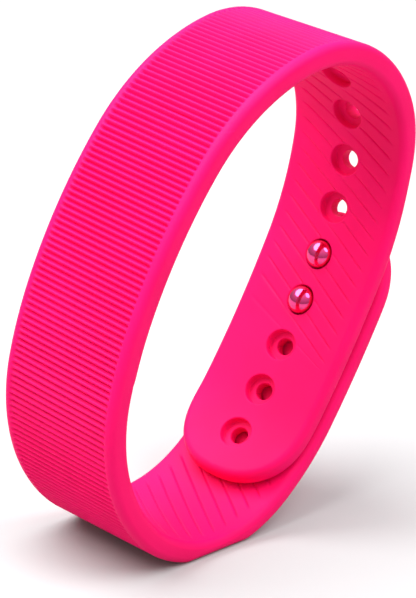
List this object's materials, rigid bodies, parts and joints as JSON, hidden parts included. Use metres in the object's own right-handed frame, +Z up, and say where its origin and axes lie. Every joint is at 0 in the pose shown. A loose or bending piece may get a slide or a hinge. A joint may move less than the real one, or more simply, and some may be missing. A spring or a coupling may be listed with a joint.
{
  "type": "fitness tracker band",
  "caption": "Buckled silicone wristband with a ribbed front, a strap of recessed holes, a two-peg metal clasp and a slide-out tracker capsule inside the front.",
  "frame": {"origin": "bottom centre of the bounding box, on the flat that the band stands on", "axes": "+Z up, Y across the band's width, ribbed front towards -X, clasp side towards +X"},
  "size_m": [0.0551, 0.02, 0.0675],
  "materials": {
    "silicone": "moulded pink silicone, satin",
    "clasp_peg": "polished steel",
    "clasp_plate": "satin anodised aluminium",
    "capsule_shell": "moulded black polycarbonate, fine texture",
    "capsule_back": "brushed stainless steel",
    "gasket": "black elastomer",
    "contact_gold": "gold plated",
    "foam": "foam tape",
    "battery_foil": "pouch foil",
    "wire_red": "insulated wire",
    "wire_black": "insulated wire",
    "board": "solder mask over glass fibre",
    "chip": "moulded epoxy",
    "crystal_can": "nickel plated can",
    "ceramic": "fired ceramic",
    "led": "clear resin",
    "motor_steel": "drawn steel",
    "rotor_metal": "sintered weight"
  },
  "bodies": {
    "front": {"front_band": "silicone"},
    "hole_strap": {"hole_strap": "silicone", "hole_lip_1": "silicone", "hole_lip_2": "silicone"},
    "peg_strap": {"peg_strap": "silicone", "clasp_plate": "clasp_plate", "clasp_peg_1": "clasp_peg", "clasp_peg_2": "clasp_peg"},
    "capsule": {"capsule_cover": "capsule_shell", "capsule_base": "capsule_back", "capsule_gasket": "gasket", "charging_contact_1": "contact_gold", "charging_contact_2": "contact_gold", "charging_contact_3": "contact_gold", "battery_pad": "foam", "battery_cell": "battery_foil", "battery_lead_positive": "wire_red", "battery_lead_negative": "wire_black", "circuit_board": "board", "radio_chip": "chip", "motion_sensor": "chip", "power_chip": "chip", "memory_chip": "chip", "clock_crystal": "crystal_can", "chip_antenna": "ceramic", "status_led": "led", "motor_can": "motor_steel", "motor_lid": "motor_steel"},
    "rotor": {"motor_rotor": "rotor_metal"}
  },
  "joints": [
    {"name": "peg_strap_flex", "type": "hinge", "parent": "front", "child": "peg_strap", "pos_m": [0.01093, 0, 0.00684], "axis": [0, 1, 0], "range_deg": [0, 60], "stiffness_Nm_per_rad": 0.03, "springref_deg": -2.86, "deforming": ["hole_lip_1", "hole_lip_2"]},
    {"name": "hole_strap_flex", "type": "hinge", "parent": "front", "child": "hole_strap", "pos_m": [0.02353, 0, 0.04291], "axis": [0, 1, 0], "range_deg": [0, 25], "stiffness_Nm_per_rad": 0.03, "springref_deg": -1.72, "deforming": ["hole_lip_1", "hole_lip_2"]},
    {"name": "capsule_slide", "type": "slide", "parent": "front", "child": "capsule", "axis": [0.9173, 0, -0.3981], "range_m": [0, 0.009]},
    {"name": "rotor_spin", "type": "hinge", "parent": "capsule", "child": "rotor", "pos_m": [-0.01622, 0, 0.04704], "axis": [-0.8572, 0, 0.515], "continuous": true}
  ]
}
